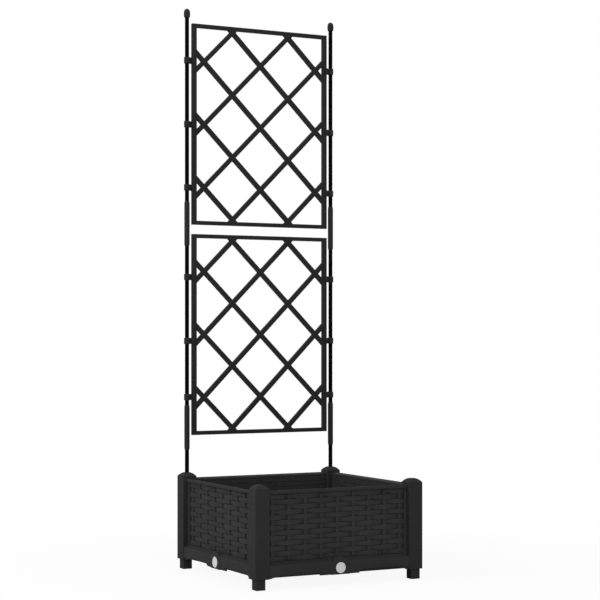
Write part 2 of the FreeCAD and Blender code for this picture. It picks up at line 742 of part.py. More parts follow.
def make_tray():
    """Floor tray: the water store, with columns for the soil grid and a drain in each side."""
    body = new_body("floor_tray")

    block = new_sketch(body, "XY_Plane", "block")
    notched_square(block, tray_half, tray_notch)
    pad(body, block, S.tray_height)

    store = new_sketch(body, "XY_Plane", "store", S.tray_height)
    notched_square(store, tray_half - S.tray_wall, tray_notch - S.tray_wall)
    pocket(body, store, S.tray_height - S.tray_wall)

    middle = S.column_spacing / 2
    column = new_sketch(body, "XY_Plane", "column")
    circle(column, -middle, -middle, S.column_radius)
    pattern(body, pad(body, column, S.tray_height), True,
            ("X_Axis", 2, S.column_spacing), ("Y_Axis", 2, S.column_spacing))

    for role in ("XZ_Plane", "YZ_Plane"):
        drain = new_sketch(body, role, "drain_" + role[:2])
        circle(drain, 0, S.drain_height - tray_base, drain_bore)
        pocket(body, drain, both_ways=True)

    place(body, 0, 0, tray_base)


def make_grid():
    """Soil grid: a slotted plate on the tray, which keeps the soil above the water."""
    body = new_body("soil_grid")

    plate = new_sketch(body, "XY_Plane", "plate")
    notched_square(plate, tray_half, tray_notch)
    pad(body, plate, S.grid_thickness)

    first_x = S.slot_pitch_long * (1 - SLOTS_LONG) / 2
    first_y = S.slot_pitch_wide * (1 - SLOTS_WIDE) / 2
    slot = new_sketch(body, "XY_Plane", "slot", S.grid_thickness)
    rectangle(slot, first_x - S.slot_length / 2, first_y - S.slot_width / 2,
              first_x + S.slot_length / 2, first_y + S.slot_width / 2)
    pattern(body, pocket(body, slot), False, ("X_Axis", SLOTS_LONG, S.slot_pitch_long),
            ("Y_Axis", SLOTS_WIDE, S.slot_pitch_wide))

    place(body, 0, 0, grid_base)


def make_pole(name, x, base, top):
    """One length of trellis pole."""
    body = new_body(name)
    tube = new_sketch(body, "XY_Plane", "tube")
    circle(tube, 0, 0, pole_radius)
    circle(tube, 0, 0, pole_radius - S.pole_wall)
    pad(body, tube, top - base)
    place(body, x, post_axis, base)


def make_sleeve(name, x, joint):
    """Sleeve over a pole joint, tapered at both ends."""
    body = new_body(name)
    tip = pole_bore + S.sleeve_lip
    profile = new_sketch(body, "XZ_Plane", "profile")
    outline(profile, [
        (pole_bore, 0), (tip, 0), (S.sleeve_radius, S.sleeve_taper),
        (S.sleeve_radius, S.sleeve_length - S.sleeve_taper), (tip, S.sleeve_length),
        (pole_bore, S.sleeve_length),
    ])
    turned(body, profile)
    place(body, x, post_axis, joint - S.sleeve_length / 2)


def make_finial(name, x):
    """Finial: a domed end pushed over the top of the pole."""
    body = new_body(name)
    profile = new_sketch(body, "XZ_Plane", "profile")
    path = [(0, S.finial_bore), (pole_bore, S.finial_bore), (pole_bore, 0)]
    path += [(S.finial_radius * across, S.finial_height * up) for across, up in FINIAL_SHARES]
    outline(profile, path)
    turned(body, profile)
    place(body, x, post_axis, S.finial_base)


def make_lattice(name, base):
    """Lattice: crossing slanted strips in a border, bevelled along every edge, front and back."""
    body = new_body(name)
    half_width = S.lattice_width / 2
    half_height = S.lattice_height / 2
    inner_width = half_width - S.lattice_stile
    inner_height = half_height - S.lattice_rail

    plate = new_sketch(body, "XZ_Plane", "plate")
    rectangle(plate, -half_width + S.bite, -half_height + S.bite,
              half_width - S.bite, half_height - S.bite)
    pad(body, plate, S.lattice_thickness, both_ways=True)

    # Each gap is a square on its point; two fields of gaps interlock.
    reach = S.lattice_pitch / 2 - S.lattice_strip * DIAGONAL_SHARE
    wide = S.lattice_pitch * (LATTICE_COLUMNS - 1) / 2
    narrow = S.lattice_pitch * (LATTICE_ROWS - 1) / 2
    fields = (
        ("gap", wide, narrow, LATTICE_COLUMNS, LATTICE_ROWS),
        ("offset_gap", narrow, wide, LATTICE_ROWS, LATTICE_COLUMNS),
    )
    for title, across, up, columns, rows in fields:
        gap = new_sketch(body, "XZ_Plane", title)
        outline(gap, [(-across - reach, -up), (-across, -up - reach),
                      (reach - across, -up), (-across, reach - up)])
        pattern(body, pocket(body, gap, both_ways=True), False,
                ("X_Axis", columns, S.lattice_pitch), ("Z_Axis", rows, S.lattice_pitch))

    border = new_sketch(body, "XZ_Plane", "border")
    rectangle(border, -half_width, -half_height, half_width, half_height)
    rectangle(border, -inner_width, -inner_height, inner_width, inner_height)
    pad(body, border, S.lattice_thickness, both_ways=True)

    bevel(body, 1, [-stile_half, stile_half], S.lattice_chamfer)

    place(body, 0, post_axis, base + half_height)


def make_clip(name, x, height, turn):
    """Clip: a ring on the pole and a snap saddle that grips the lattice's edge."""
    body = new_body(name)
    ring = S.clip_ring_radius
    arm = S.clip_arm_thickness / 2
    joint = root(ring * ring - arm * arm)
    grip = stile_half + S.slip
    outer = grip + S.clip_wall
    face = stile_face - S.slip
    back = face - S.clip_wall
    lip = stile_face + S.clip_lip

    shape = new_sketch(body, "XY_Plane", "shape", -S.clip_height / 2)
    outline(shape, [
        (joint, -arm, ring, 1), (back, -arm), (back, -outer), (lip, -outer), (lip, -grip),
        (face, -grip), (face, grip), (lip, grip), (lip, outer), (back, outer), (back, arm),
        (joint, arm), (0, ring, ring, 1), (-ring, 0, ring, 1), (0, -ring, ring, 1),
    ])
    circle(shape, 0, 0, pole_bore)
    pad(body, shape, S.clip_height)

    place(body, x, post_axis, height)
    body.Placement.Rotation = FreeCAD.Rotation(FreeCAD.Vector(0, 0, 1), turn)


for corner, turn in CORNERS.items():
    make_post(corner, turn)
    make_cap(corner, turn, corner.startswith("back"))
    make_foot(corner, turn)

for side, turn in SIDES.items():
    make_panel(side, turn)
    make_plug(side, turn)
    make_seal(side, turn)

make_tray()
make_grid()

make_lattice("lattice_lower", S.lower_lattice_base)
make_lattice("lattice_upper", S.upper_lattice_base)

pole_end = S.finial_base + S.finial_bore - S.slip
clip_heights = {
    "lower_low": S.lower_lattice_base + S.lower_clip_low,
    "lower_middle": S.lower_lattice_base + S.lower_clip_middle,
    "lower_high": S.lower_lattice_base + S.lower_clip_high,
    "upper_low": S.upper_lattice_base + S.upper_clip_low,
    "upper_middle": S.upper_lattice_base + S.upper_clip_middle,
    "upper_high": S.upper_lattice_base + S.upper_clip_high,
}
for hand, x, turn in (("left", -post_axis, 0), ("right", post_axis, 180)):
    make_pole(f"pole_lower_{hand}", x, pole_foot, S.lower_joint)
    make_pole(f"pole_middle_{hand}", x, S.lower_joint, S.upper_joint)
    make_pole(f"pole_upper_{hand}", x, S.upper_joint, pole_end)
    make_sleeve(f"sleeve_lower_{hand}", x, S.lower_joint)
    make_sleeve(f"sleeve_upper_{hand}", x, S.upper_joint)
    make_finial(f"finial_{hand}", x)
    for spot, height in clip_heights.items():
        make_clip(f"clip_{spot}_{hand}", x, height, turn)

doc.recompute()
check_steps()

bodies = [thing for thing in doc.Objects if thing.TypeId == "PartDesign::Body"]
for thing in doc.Objects:
    if {"Invalid", "Error"} & set(thing.State):
        raise RuntimeError(f"{thing.Label} failed")
for body in bodies:
    if body.Shape.isNull() or not body.Shape.isValid() or len(body.Shape.Solids) != 1:
        raise RuntimeError(f"{body.Label} is not one sound solid")

os.makedirs("parts", exist_ok=True)
for body in bodies:
    body.Shape.exportStep(f"parts/{body.Label}.step")
print(len(bodies), "pieces written")
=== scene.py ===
import json
import math

import bmesh
import bpy
from bpy.props import FloatProperty, FloatVectorProperty, IntProperty, PointerProperty
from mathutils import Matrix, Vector


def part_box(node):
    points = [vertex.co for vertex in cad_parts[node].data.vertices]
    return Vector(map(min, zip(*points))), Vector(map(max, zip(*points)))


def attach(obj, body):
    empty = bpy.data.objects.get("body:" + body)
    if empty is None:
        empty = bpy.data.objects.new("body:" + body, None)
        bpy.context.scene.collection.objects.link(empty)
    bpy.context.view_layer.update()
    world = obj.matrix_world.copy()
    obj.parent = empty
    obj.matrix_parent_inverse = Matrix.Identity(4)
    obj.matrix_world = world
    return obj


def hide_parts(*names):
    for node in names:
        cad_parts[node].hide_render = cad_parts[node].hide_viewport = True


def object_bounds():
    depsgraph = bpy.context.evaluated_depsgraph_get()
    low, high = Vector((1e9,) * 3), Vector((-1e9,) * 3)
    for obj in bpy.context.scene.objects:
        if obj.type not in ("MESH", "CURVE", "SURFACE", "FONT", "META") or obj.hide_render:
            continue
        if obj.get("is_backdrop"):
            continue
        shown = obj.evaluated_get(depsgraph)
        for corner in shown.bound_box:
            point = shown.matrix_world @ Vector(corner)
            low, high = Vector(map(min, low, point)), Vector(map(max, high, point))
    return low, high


# The looks of a square floor planter with a woven pattern on its side panels and a two-tier
# trellis in its back posts. The rigid frame is loaded first; every piece is fitted to it.
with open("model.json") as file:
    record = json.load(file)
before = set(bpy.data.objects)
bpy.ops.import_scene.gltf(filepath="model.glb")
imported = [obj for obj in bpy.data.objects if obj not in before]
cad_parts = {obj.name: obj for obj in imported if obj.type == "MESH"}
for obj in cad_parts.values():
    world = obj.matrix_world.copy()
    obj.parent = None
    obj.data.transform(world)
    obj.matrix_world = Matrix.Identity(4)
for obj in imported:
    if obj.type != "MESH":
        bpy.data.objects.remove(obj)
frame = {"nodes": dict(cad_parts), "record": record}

bl_info = {
    "name": "Planter with trellis",
    "version": (1, 0, 0),
    "blender": (4, 5, 0),
    "location": "3D View > Sidebar > Planter",
    "description": "Models and finishes a floor planter with woven panels and a trellis",
    "category": "Object",
}

SIDES = ("front", "right", "back", "left")
CORNERS = ("front_left", "front_right", "back_right", "back_left")
HANDS = ("left", "right")
LEVELS = ("lower", "upper")
CLIP_SPOTS = ("low", "middle", "high")
# A finial's outline: shares of its radius and of its height, from the pole up.
FINIAL_SHARES = (
    (0.80, 0), (0.84, 0.02), (0.95, 0.10), (0.99, 0.18), (1, 0.26), (1, 0.53), (0.99, 0.59),
    (0.95, 0.68), (0.89, 0.75), (0.8, 0.825), (0.68, 0.885), (0.52, 0.94), (0.34, 0.98),
    (0.16, 0.996), (0.03, 1),
)
# Each lamp's name, place, target, setting for its power, and width.
LAMPS = (
    ("key_lamp", (-3.0, 0.1, 2.1), (0, 0, 0.4), "key", 1.8),
    ("front_lamp", (-1.6, -4.2, 1.1), (0, 0, 0.3), "front", 2.0),
    ("top_lamp", (0, -0.6, 3.6), (0, 0, 0.2), "top", 2.4),
)
QUARTER = math.pi / 2
# Places closer than this are the same, and faces that meet at less than this are one.
NEAR = 1e-5
FLAT = math.radians(0.5)
# Steps in a curve and in a small rounding, and the sides of a turned piece.
CURVE_STEPS = 6
ROUND_STEPS = 5
TURNED_SIDES = 56
# Cells in a metre of the noises for uneven tone, uneven gloss and moulding grain.
CLOUDS = 7
SHEEN = 55
GRAIN = 1500
# The part of its range that a noise mostly fills.
NOISE_LOW, NOISE_HIGH = 0.3, 0.7

# The front left post gives the planter's front face, its lower edge and the posts' width.
POST_LOW, POST_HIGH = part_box("corner_post_front_left")
FACE = POST_LOW.y
BASE = POST_LOW.z
POST_SIDE = POST_HIGH.x - POST_LOW.x
CAP_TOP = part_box("post_cap_front_left")[1].z
PANEL_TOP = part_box("side_panel_front")[1].z
PLUG_LOW, PLUG_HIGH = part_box("drain_plug_front")
DRAIN_AXIS = (PLUG_LOW.z + PLUG_HIGH.z) / 2


def length(name, description, default):
    """A size that a user can change, in metres."""
    return FloatProperty(name=name, description=description, default=default,
                         unit="LENGTH", precision=4)


def share(name, description, default):
    """A finish value between nothing and full."""
    return FloatProperty(name=name, description=description, default=default, min=0, max=1,
                         subtype="FACTOR")


def paint(name, description, default):
    """A colour that a user can change."""
    return FloatVectorProperty(name=name, description=description, default=default,
                               subtype="COLOR", size=3, min=0, max=1)


class PanelSizes(bpy.types.PropertyGroup):
    """Section of a side panel; setbacks are measured from the front faces of the posts."""

    half: length("Half length", "From the middle to the post", 0.1789)
    rail_setback: length("Rail setback", "Front of the foot rail", 0.002)
    rail_tuck: length("Rail tuck", "How far the foot rail curls under", 0.004)
    rail_curl: length("Rail curl", "Height of that curl", 0.010)
    rail_height: length("Rail height", "Top of the foot rail's front", 0.031)
    rail_round: length("Rail rounding", "Rounding at the top of that front", 0.003)
    ledge_rise: length("Ledge rise", "Slope of the foot rail's top", 0.005)
    ledge_end: length("Ledge end", "Where that slope ends, below the weave's front", 0.014)
    wall_setback: length("Wall setback", "Plain wall behind the weave", 0.021)
    wall: length("Wall", "Thickness of the plain wall", 0.003)
    skin: length("Skin", "Thickness of the hollow foot rail", 0.0025)
    rim_setback: length("Rim setback", "Front of the top rim", 0.0085)
    rim_drop: length("Rim drop", "Top of the rim below the tabs' top", 0.0033)
    rim_band: length("Rim band", "Height of the top rim", 0.0091)
    rim_round: length("Rim rounding", "Rounding of the top rim", 0.003)
    rim_fall: length("Rim fall", "How much lower the rim is on its inner side", 0.003)
    rim_slope: length("Rim slope", "How far the rim's lower edge slopes back", 0.002)
    lip_reach: length("Lip reach", "Inside lip under the floor tray", 0.008)
    lip_thickness: length("Lip thickness", "Thickness of that lip", 0.0025)
    stile_width: length("Stile width", "Upright strip beside the post", 0.006)
    stile_setback: length("Stile setback", "Front of that strip", 0.012)
    stile_round: length("Stile rounding", "Rounding of its edge towards the weave", 0.003)
    tab_setback: length("Tab setback", "Front of the tab in the slot of the post's wall", 0.016)
    tab_reach: length("Tab reach", "How far that tab reaches into the slot", 0.0024)
    tab_thickness: length("Tab thickness", "Thickness of that tab", 0.004)
    arch_rise: length("Arch rise", "Lower edge lifted on each side of the drain", 0.0037)
    arch_run: length("Arch run", "Length of the curve up from the post", 0.024)
    arch_margin: length("Arch margin", "Level part of the lower edge at the post", 0.005)
    apron_half: length("Apron half", "Half the level middle of the lower edge", 0.050)
    apron_slope: length("Apron slope", "Run of the slope beside it", 0.004)
    boss_radius: length("Boss radius", "Round-topped boss at the drain", 0.025)
    boss_setback: length("Boss setback", "Front of the boss", 0.0013)
    boss_edge: length("Boss edge", "Rounding round the boss", 0.0012)
    seat_radius: length("Seat radius", "Recess for the plug's head", 0.0129)
    seat_depth: length("Seat depth", "Depth of the recess from the post face", 0.0043)


class WeaveSizes(bpy.types.PropertyGroup):
    """The woven field: upright ribs with level strands that pass over and behind them."""

    ribs: IntProperty(name="Ribs", description="Upright ribs in a panel", default=9)
    strands: IntProperty(name="Strands", description="Level strands in a panel", default=13)
    rib_pitch: length("Rib pitch", "Spacing of the ribs", 0.041)
    rib_width: length("Rib width", "Width of a rib", 0.0104)
    rib_front: length("Rib front", "Rib setback where strands pass behind it", 0.0158)
    rib_back: length("Rib back", "Rib setback where strands pass over it", 0.0168)
    strand_pitch: length("Strand pitch", "Spacing of the strands", 0.0115)
    strand_height: length("Strand height", "Height of a strand", 0.0113)
    strand_over: length("Strand over", "Strand setback over a rib", 0.0148)
    strand_under: length("Strand under", "Strand setback behind a rib", 0.0202)
    strand_flat: length("Strand flat", "Straight part of a strand at a rib", 0.014)
    strand_round: length("Strand rounding", "Rounding of a strand's edges", 0.0010)
    groove: length("Groove", "Depth of the grooves on a panel's inner face", 0.0012)


class FittingSizes(bpy.types.PropertyGroup):
    """Caps, feet, plugs and the trellis fittings."""

    cap_skirt: length("Cap skirt", "Upright band under the cap's slopes", 0.0008)
    cap_flat: length("Cap flat", "Half width of the level top of a cap", 0.0064)
    cap_round: length("Cap rounding", "Radius of the cap's sloping sides", 0.024)
    cap_corner: length("Cap corner", "Radius of the cap's upright edges", 0.002)
    cap_steps: IntProperty(name="Cap steps", description="Steps in the rounding", default=9)
    foot_round: length("Foot rounding", "Rounding of a foot's edges", 0.0016)
    plug_thickness: length("Plug thickness", "Thickness of a plug's head", 0.0027)
    plug_inset: length("Plug inset", "Gap round a plug's head in its recess", 0.0003)
    plug_edge: length("Plug edge", "Rounding round a plug's head", 0.0009)
    plug_border: length("Plug border", "Level border round the dish", 0.0024)
    plug_dish: length("Plug dish", "Depth of the dish", 0.0006)
    plug_stem: length("Plug stem", "Radius of the stem", 0.006)
    sleeve_taper: length("Sleeve taper", "Length of a sleeve's tapered ends", 0.006)
    sleeve_lip: length("Sleeve lip", "Wall left at those ends", 0.0005)
    edge_lattice: length("Lattice edges", "Softening of a lattice's edges", 0.0003)
    edge_clip: length("Clip edges", "Softening of a clip's edges", 0.0008)
    edge_post: length("Post edges", "Softening of a post's end edges", 0.0006)
    edge_inner: length("Inner edges", "Softening of the tray and grid", 0.0006)


class PlanterFinishes(bpy.types.PropertyGroup):
    """Colours and gloss of the materials."""

    box: paint("Box", "Moulded plastic of posts, caps and feet", (0.0225, 0.0225, 0.0232))
    panel: paint("Panels", "Plastic of the rims and foot rails", (0.027, 0.027, 0.0278))
    # The weave's colour is lighter than the box's: painted light that offsets the shade between the
    # strands; the panels' inner faces take it too, as painted light for the shaded inside.
    weave: paint("Weave", "Plastic of the woven fields", (0.0315, 0.0315, 0.0325))
    box_gloss: share("Box roughness", "Roughness of the box", 0.75)
    inner: paint("Inside", "Moulded plastic of tray and grid", (0.018, 0.018, 0.019))
    trellis: paint("Trellis", "Moulded plastic of the trellis", (0.018, 0.018, 0.0187))
    trellis_gloss: share("Trellis roughness", "Roughness of the trellis", 0.6)
    pole: paint("Poles", "Coating of the poles", (0.0012, 0.0012, 0.0013))
    pole_gloss: share("Pole roughness", "Roughness of the poles", 0.38)
    plug: paint("Plugs", "Plastic of the drain plugs", (0.67, 0.68, 0.69))
    plug_gloss: share("Plug roughness", "Roughness of the plugs", 0.32)
    seal: paint("Seals", "Rubber of the plug seals", (0.012, 0.012, 0.012))
    seal_gloss: share("Seal roughness", "Roughness of the seals", 0.75)


class StageSettings(bpy.types.PropertyGroup):
    """Camera, light and floor."""

    bearing: FloatProperty(name="Bearing", description="Camera's turn round the planter",
                           default=math.radians(-27.569), subtype="ANGLE")
    distance: length("Distance", "Camera to the planter's middle", 4.0152)
    sideways: length("Sideways", "Camera's shift to its right", 0.0068)
    height: length("Height", "Camera above the floor", 0.5618)
    focal_pixels: FloatProperty(name="Focal length", description="Focal length in pixels",
                                default=1699.3)
    horizon_row: FloatProperty(name="Horizon", description="Pixel row of the horizon",
                               default=335.47)
    picture: IntProperty(name="Picture", description="Side of the picture in pixels", default=600)
    sky: FloatProperty(name="Fill", description="Even light from all round", default=0.31)
    key: FloatProperty(name="Key", description="Power of the key lamp in watts", default=51.0)
    front: FloatProperty(name="Front", description="Power of the front lamp", default=46.0)
    top: FloatProperty(name="Top", description="Power of the lamp overhead", default=41.0)
    floor: paint("Floor", "Colour of the floor", (0.93, 0.93, 0.93))
    whiteness: share("Floor whiteness", "How much the shadow close by is lightened", 0.92)
    floor_side: length("Floor side", "Side of the square floor", 14.0)
    floor_fade: length("Floor fade", "Where the floor starts to turn plain white", 0.45)
    floor_white: length("Floor white", "Where it is plain white", 1.3)


def idle():
    """Leave edit mode and deselect everything."""
    if bpy.context.mode != "OBJECT":
        bpy.ops.object.mode_set(mode="OBJECT")
    bpy.ops.object.select_all(action="DESELECT")


def take(*pieces):
    """Select these pieces alone; the first one is active."""
    idle()
    for piece in pieces:
        piece.select_set(True)
    bpy.context.view_layer.objects.active = pieces[0]


def settle(name=None):
    """Apply the active object's place, turn and scale, and name it."""
    piece = bpy.context.object
    if name:
        piece.name = name
        piece.data.name = name
    bpy.ops.object.transform_apply(location=True, rotation=True, scale=True)
    return piece


def block(name, low, high):
    """A box from its low corner to its high corner."""
    low, high = Vector(low), Vector(high)
    idle()
    bpy.ops.mesh.primitive_cube_add(size=1, location=(low + high) / 2)
    bpy.context.object.scale = high - low
    return settle(name)


def disc(name, radius, low, high, centre, sides=64):
    """A cylinder along Y between two setbacks, about a centre in X and Z."""
    idle()
    spot = (centre[0], (low + high) / 2, centre[1])
    bpy.ops.mesh.primitive_cylinder_add(vertices=sides, radius=radius, depth=high - low,
                                        location=spot, rotation=(QUARTER, 0, 0))
    return settle(name)


def pick(piece, kind, test):
    """In edit mode, select exactly the vertices, edges or faces that pass a test."""
    if bpy.context.mode != "EDIT_MESH":
        take(piece)
        bpy.ops.object.mode_set(mode="EDIT")
    bpy.ops.mesh.select_mode(type=kind)
    bpy.ops.mesh.select_all(action="DESELECT")
    shape = bmesh.from_edit_mesh(piece.data)
    members = {"VERT": shape.verts, "EDGE": shape.edges, "FACE": shape.faces}[kind]
    for member in members:
        if test(member):
            member.select_set(True)
    shape.select_flush_mode()
    bmesh.update_edit_mesh(piece.data)


def middle(member):
    """The middle of an edge or a face."""
    return sum((v.co for v in member.verts), Vector()) / len(member.verts)


def all_at(member, axis, spot):
    """Whether all of an edge's or face's vertices lie at one place along an axis."""
    return all(abs(v.co[axis] - spot) < NEAR for v in member.verts)


def move(step):
    """Move what is selected in edit mode."""
    bpy.ops.transform.translate(value=step)


def grow(step):
    """Extrude what is selected in edit mode and move it."""
    bpy.ops.mesh.extrude_region_move(TRANSFORM_OT_translate={"value": step})


def grow_rings(spot, rings):
    """Extrude what is selected upwards through (size, height) rings about a spot in X and Y."""
    for (size, height), (next_size, next_height) in zip(rings, rings[1:]):
        grow((0, 0, next_height - height))
        ratio = next_size / size
        bpy.ops.transform.resize(value=(ratio, ratio, 1),
                                 center_override=(spot[0], spot[1], next_height))


def round_picked(width, segments):
    """Round the edges that are selected in edit mode."""
    bpy.ops.mesh.bevel(offset=width, segments=segments, profile=0.5, affect="EDGES")


def cut_across(piece, axis, spots):
    """Cut a piece right through at each place along an axis."""
    normal = Vector((0, 0, 0))
    normal[axis] = 1
    for spot in spots:
        pick(piece, "FACE", lambda face: True)
        bpy.ops.mesh.bisect(plane_co=normal * spot, plane_no=normal)


def tidy(piece):
    """Merge doubled vertices and turn all faces outwards."""
    pick(piece, "VERT", lambda vertex: True)
    bpy.ops.mesh.remove_doubles(threshold=NEAR)
    bpy.ops.mesh.normals_make_consistent(inside=False)
    idle()


def finish_with(piece, kind, **settings):
    """Add a modifier and apply it."""
    take(piece)
    modifier = piece.modifiers.new(kind.title(), kind)
    for key, value in settings.items():
        setattr(modifier, key, value)
    bpy.ops.object.modifier_apply(modifier=modifier.name)
    return piece


def soften(piece, width, segments=2, angle=30):
    """Round every edge that is sharper than an angle."""
    return finish_with(piece, "BEVEL", width=width, segments=segments, limit_method="ANGLE",
                       angle_limit=math.radians(angle), use_clamp_overlap=True)


def smooth(piece, angle=32):
    """Smooth shading, with creases kept at sharp edges."""
    take(piece)
    bpy.ops.object.shade_smooth_by_angle(angle=math.radians(angle))
    return piece


def carve(piece, cutter):
    """Cut one piece out of another and delete the cutter."""
    finish_with(piece, "BOOLEAN", operation="DIFFERENCE", object=cutter, solver="EXACT")
    bpy.data.objects.remove(cutter)


def joined(name, pieces):
    """Join several pieces into one."""
    take(*pieces)
    bpy.ops.object.join()
    return settle(name)


def repeated(piece, count, step):
    """Repeat a piece in a row."""
    finish_with(piece, "ARRAY", count=count, use_relative_offset=False,
                use_constant_offset=True, constant_offset_displace=step)


def all_four(piece, stem, places):
    """The piece and a copy at each further quarter turn round the planter, with their places."""
    for k, place in enumerate(places):
        if k == 0:
            yield piece, place
            continue
        take(piece)
        bpy.ops.object.duplicate(linked=False)
        bpy.context.object.rotation_euler.z = QUARTER * k
        yield settle(f"{stem}_{place}"), place


def swept(name, path, low, high):
    """A bar along X from low to high whose section is a closed path of (Y, Z) points."""
    points = [Vector((0, y, z)) for y, z in path]
    first = points[1] - points[0]
    idle()
    bpy.ops.mesh.primitive_plane_add(size=1)
    strip = bpy.context.object
    strip.location = (points[0] + points[1]) / 2 + Vector(((low + high) / 2, 0, 0))
    strip.rotation_euler.x = math.atan2(first.z, first.y)
    strip.scale = (high - low, first.length, 1)
    strip = settle(name)
    pick(strip, "EDGE", lambda edge: (middle(edge).yz - points[1].yz).length < NEAR)
    for here, follow in zip(points[1:], points[2:] + points[:1]):
        grow(follow - here)
    tidy(strip)
    for end in (low, high):
        pick(strip, "EDGE", lambda edge: edge.is_boundary and all_at(edge, 0, end))
        bpy.ops.mesh.edge_face_add()
    tidy(strip)
    return strip


def turned(name, spot, rings):
    """A shell turned about an upright axis, from (radius, height) rings; it closes on itself."""
    idle()
    radius, height = rings[0]
    bpy.ops.mesh.primitive_circle_add(vertices=TURNED_SIDES, radius=radius,
                                      location=(spot[0], spot[1], height))
    piece = settle(name)
    pick(piece, "EDGE", lambda edge: True)
    grow_rings(spot, rings + rings[:1])
    tidy(piece)
    return piece


def softened(node, name, width, segments=2):
    """A copy of a frame node with its flat faces merged and its edges rounded."""
    take(frame["nodes"][node])
    bpy.ops.object.duplicate(linked=False)
    piece = bpy.context.object
    for key in list(piece.keys()):
        del piece[key]
    piece.parent = None
    piece = settle(name)
    piece.data.materials.clear()
    tidy(piece)
    pick(piece, "FACE", lambda face: True)
    bpy.ops.mesh.dissolve_limited(angle_limit=FLAT)
    idle()
    return smooth(soften(piece, width, segments))


def arc(centre, radius, start, end, steps):
    """Points on an arc, as (Y, Z), from one angle to another in degrees."""
    points = []
    for k in range(steps + 1):
        angle = math.radians(start + (end - start) * k / steps)
        points.append((centre[0] + radius * math.cos(angle),
                       centre[1] + radius * math.sin(angle)))
    return points


def finished(piece, body, slot, node):
    """Give a piece its body, let it stand for its node, and give it its slot's finish if it is
    bare.
    """
    if not piece.data.materials:
        piece.data.materials.append(bpy.data.materials[f"{slot}_finish"])
    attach(piece, body)
    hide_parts(node)


class NodeTree:
    """The nodes of a material or world under construction."""

    def __init__(self, owner):
        owner.use_nodes = True
        self.tree = owner.node_tree

    def node(self, kind, **values):
        """Add a node and set its inputs."""
        made = self.tree.nodes.new(kind)
        for key, value in values.items():
            made.inputs[key.replace("_", " ").title()].default_value = value
        return made

    def maths(self, kind, operation):
        """Add a node that does sums."""
        made = self.node(kind)
        made.operation = operation
        return made

    def link(self, start, end):
        """Join an output to an input."""
        self.tree.links.new(start, end)

    def blend(self, factor, first, second, output):
        """Mix two shaders by a factor and send them to the output."""
        mix = self.node("ShaderNodeMixShader")
        self.link(factor, mix.inputs["Fac"])
        self.link(first.outputs[0], mix.inputs[1])
        self.link(second.outputs[0], mix.inputs[2])
        self.link(mix.outputs[0], self.node(output).inputs["Surface"])


class Shader(NodeTree):
    """A material under construction: a principled shader and helpers to add nodes to it."""

    def __init__(self, name, colour, roughness, specular):
        super().__init__(bpy.data.materials.new(name))
        self.roughness = roughness
        self.shader = self.tree.nodes["Principled BSDF"]
        self.shader.inputs["Base Color"].default_value = (*colour, 1)
        self.shader.inputs["Roughness"].default_value = roughness
        self.shader.inputs["Specular IOR Level"].default_value = specular
        self.place = self.node("ShaderNodeTexCoord").outputs["Object"]
        self.bump = None

    def noise(self, cells, detail, stretch=(1, 1, 1)):
        """Cloudy variation, at so many cells in a metre."""
        turn = self.node("ShaderNodeMapping", scale=stretch)
        cloud = self.node("ShaderNodeTexNoise", scale=cells, detail=detail)
        self.link(self.place, turn.inputs["Vector"])
        self.link(turn.outputs["Vector"], cloud.inputs["Vector"])
        return cloud.outputs["Fac"]

    def ranged(self, cells, detail, low, high):
        """A noise with the part that it fills stretched to a range."""
        scale = self.node("ShaderNodeMapRange", from_min=NOISE_LOW, from_max=NOISE_HIGH,
                          to_min=low, to_max=high)
        self.link(self.noise(cells, detail), scale.inputs["Value"])
        return scale.outputs["Result"]

    def tint(self, cells, detail, dark, light):
        """Vary the base colour between two multiples of itself."""
        colour = self.shader.inputs["Base Color"].default_value[:3]
        mix = self.node("ShaderNodeMix")
        mix.data_type = "RGBA"
        sockets = [s for s in mix.inputs if s.type == "RGBA"]
        sockets[0].default_value = (*[c * dark for c in colour], 1)
        sockets[1].default_value = (*[min(c * light, 1) for c in colour], 1)
        self.link(self.ranged(cells, detail, 0, 1), mix.inputs["Factor"])
        result = [s for s in mix.outputs if s.type == "RGBA"][0]
        self.link(result, self.shader.inputs["Base Color"])

    def gloss(self, cells, detail, less, more):
        """Vary the roughness by so much less and more."""
        source = self.ranged(cells, detail, self.roughness - less, self.roughness + more)
        self.link(source, self.shader.inputs["Roughness"])

    def relief(self, cells, detail, depth, strength, stretch=(1, 1, 1)):
        """Raise and lower the surface a little, on top of any relief before."""
        bump = self.node("ShaderNodeBump", strength=strength, distance=depth)
        self.link(self.noise(cells, detail, stretch), bump.inputs["Height"])
        if self.bump:
            self.link(self.bump, bump.inputs["Normal"])
        self.bump = bump.outputs["Normal"]
        self.link(self.bump, self.shader.inputs["Normal"])


def moulded_plastic(name, colour, roughness, grain=GRAIN):
    """Dark moulded plastic: a fine matt grain, faint flow marks and slightly uneven gloss."""
    look = Shader(name, colour, roughness, specular=0.08)
    look.tint(cells=CLOUDS, detail=4, dark=0.92, light=1.1)
    look.gloss(cells=SHEEN, detail=3, less=0.05, more=0.07)
    look.relief(cells=grain, detail=2, depth=0.00004, strength=0.4)


def woven_plastic_painted_light(name, colour, roughness):
    """The panels' woven plastic: moulded plastic with fine lengthwise streaks on the strands; it is
    given a colour lighter than the posts', painted light that offsets the shade between the
    strands.
    """
    look = Shader(name, colour, roughness, specular=0.08)
    look.tint(cells=CLOUDS, detail=4, dark=0.9, light=1.12)
    look.gloss(cells=SHEEN, detail=3, less=0.05, more=0.07)
    look.relief(cells=1, stretch=(30, 30, 1300), detail=2, depth=0.00012, strength=0.5)
    look.relief(cells=GRAIN, detail=2, depth=0.00005, strength=0.5)


def coated_steel(name, colour, roughness):
    """Black powder coating: a faint orange peel under an even satin gloss."""
    look = Shader(name, colour, roughness, specular=0.01)
    look.tint(cells=12, detail=2, dark=0.85, light=1.15)
    look.gloss(cells=140, detail=2, less=0.05, more=0.06)
    look.relief(cells=700, detail=2, depth=0.00006, strength=0.4)


